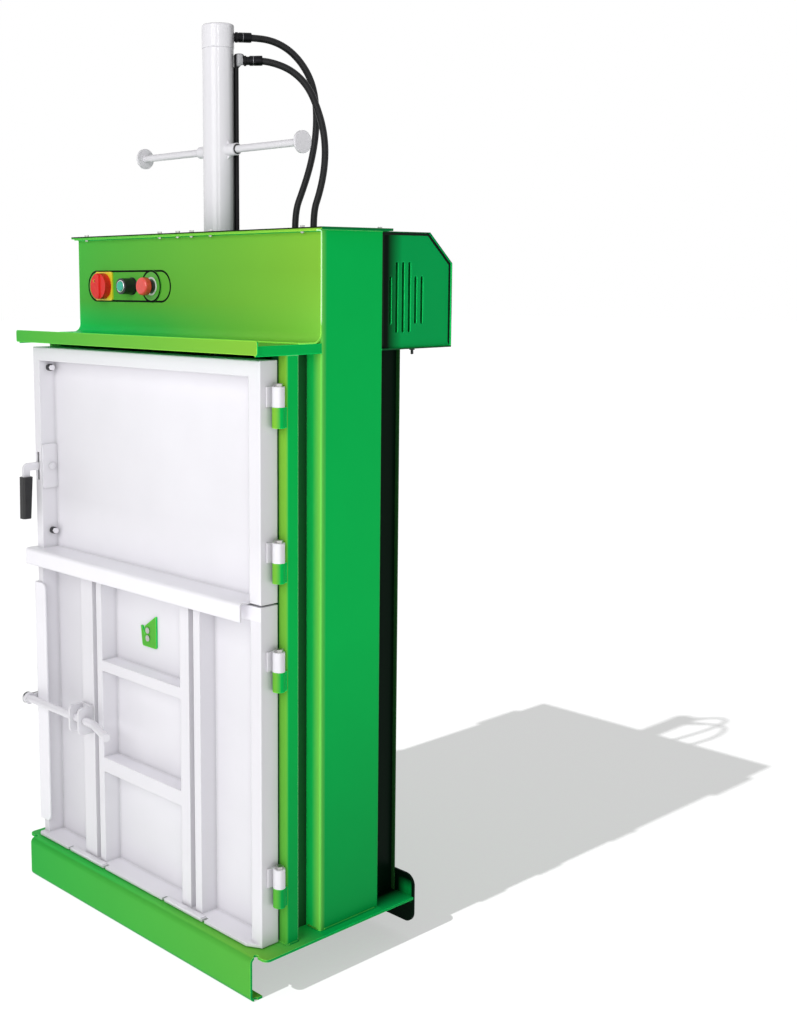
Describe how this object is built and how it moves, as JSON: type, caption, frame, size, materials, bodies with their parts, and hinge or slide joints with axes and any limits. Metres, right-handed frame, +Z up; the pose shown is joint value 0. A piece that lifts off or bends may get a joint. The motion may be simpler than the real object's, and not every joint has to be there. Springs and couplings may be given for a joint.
{
  "type": "recycling baler",
  "caption": "Upright baler with a hydraulic ram over a box chamber, two hinged front doors with latch and lock, a control panel, strap holders and a rear motor cover.",
  "frame": {"origin": "centre of the footprint of the whole baler, on the floor", "axes": "+Z up along the ram, +X to the right of a person who faces the doors, +Y from the doors to the motor cover"},
  "size_m": [0.87, 0.5952, 1.978],
  "materials": {
    "green_paint": "smooth gloss powder coat, leaf green",
    "white_paint": "smooth satin powder coat, cool white",
    "motor_paint": "satin grey enamel",
    "chrome": "polished",
    "bright_steel": "ground steel",
    "zinc_steel": "zinc plated",
    "dark_steel": "blackened steel",
    "cast_metal": "as cast",
    "black_plastic": "fine matte",
    "red_plastic": "gloss",
    "yellow_plastic": "gloss",
    "label_green": "satin film",
    "green_plastic": "gloss",
    "black_rubber": "smooth black rubber"
  },
  "bodies": {
    "frame": {"base_runners": "green_paint", "base_tray": "green_paint", "button_collars": "black_plastic", "chamber_back": "green_paint", "chamber_ceiling": "green_paint", "chamber_side_left": "green_paint", "chamber_side_right": "green_paint", "control_panel": "green_paint", "crosshead": "green_paint", "cylinder_barrel": "white_paint", "cylinder_cap": "white_paint", "frame_knuckles": "green_paint", "header_tray": "green_paint", "hinge_pins": "zinc_steel", "hinge_post": "green_paint", "hose_lower": "black_rubber", "hose_unions": "dark_steel", "hose_upper": "black_rubber", "isolator_plate": "yellow_plastic", "latch_post": "green_paint", "lid_fasteners": "zinc_steel", "lock_keeper": "green_paint", "lower_fitting": "dark_steel", "motor": "motor_paint", "motor_cover": "green_paint", "motor_tray": "green_paint", "oil_tank": "black_plastic", "pump": "cast_metal", "rear_foot": "green_paint", "side_column_left": "green_paint", "side_column_right": "green_paint", "stop_disc": "label_green", "strap_rod_left": "white_paint", "strap_rod_right": "white_paint", "switch_bodies": "black_plastic", "top_lid": "green_paint", "tray_bolts": "zinc_steel", "upper_fitting": "dark_steel", "valve_block": "bright_steel"},
    "lower_door_body": {"lower_door": "white_paint", "lower_door_knuckles": "white_paint", "guard_strip": "white_paint", "lock_bracket": "white_paint", "strap_cutter": "green_paint", "cutter_screws": "zinc_steel"},
    "upper_door_body": {"upper_door": "white_paint", "upper_door_knuckles": "white_paint", "latch_bracket": "white_paint", "latch_bolt": "zinc_steel", "stop_bolts": "zinc_steel"},
    "door_lock": {"lock_bar": "white_paint", "lock_end_bolt": "chrome"},
    "door_latch": {"latch_lever": "white_paint", "latch_grip": "black_rubber"},
    "ram": {"piston_rod": "chrome", "press_platen": "green_paint"},
    "isolator": {"isolator_knob": "red_plastic"},
    "start_push": {"start_button": "green_plastic"},
    "stop_push": {"stop_button": "red_plastic"},
    "fan": {"motor_fan": "black_plastic"}
  },
  "joints": [
    {"name": "lower_door_swing", "type": "hinge", "parent": "frame", "child": "lower_door_body", "pos_m": [0.4083, -0.19737, 0], "axis": [0, 0, 1], "range_deg": [0, 90]},
    {"name": "upper_door_swing", "type": "hinge", "parent": "lower_door_body", "child": "upper_door_body", "pos_m": [0.4083, -0.19737, 0.8], "axis": [0, 0, 1], "range_deg": [0, 90]},
    {"name": "lock_turn", "type": "hinge", "parent": "lower_door_body", "child": "door_lock", "pos_m": [-0.205, -0.25637, 0.437], "axis": [1, 0, 0], "range_deg": [-8, 70]},
    {"name": "latch_turn", "type": "hinge", "parent": "upper_door_body", "child": "door_latch", "pos_m": [-0.393, -0.20737, 1.002], "axis": [-1, 0, 0], "range_deg": [-10, 25]},
    {"name": "ram_press", "type": "slide", "parent": "frame", "child": "ram", "axis": [0, 0, -1], "range_m": [0, 0.54]},
    {"name": "isolator_turn", "type": "hinge", "parent": "frame", "child": "isolator", "pos_m": [-0.309, -0.09137, 1.42], "axis": [0, 1, 0], "range_deg": [0, 90]},
    {"name": "start_press", "type": "slide", "parent": "frame", "child": "start_push", "axis": [0, 1, 0], "range_m": [0, 0.004]},
    {"name": "stop_press", "type": "slide", "parent": "frame", "child": "stop_push", "axis": [0, 1, 0], "range_m": [0, 0.006]},
    {"name": "fan_spin", "type": "hinge", "parent": "frame", "child": "fan", "pos_m": [-0.19, 0.19663, 1.369], "axis": [1, 0, 0], "continuous": true}
  ]
}
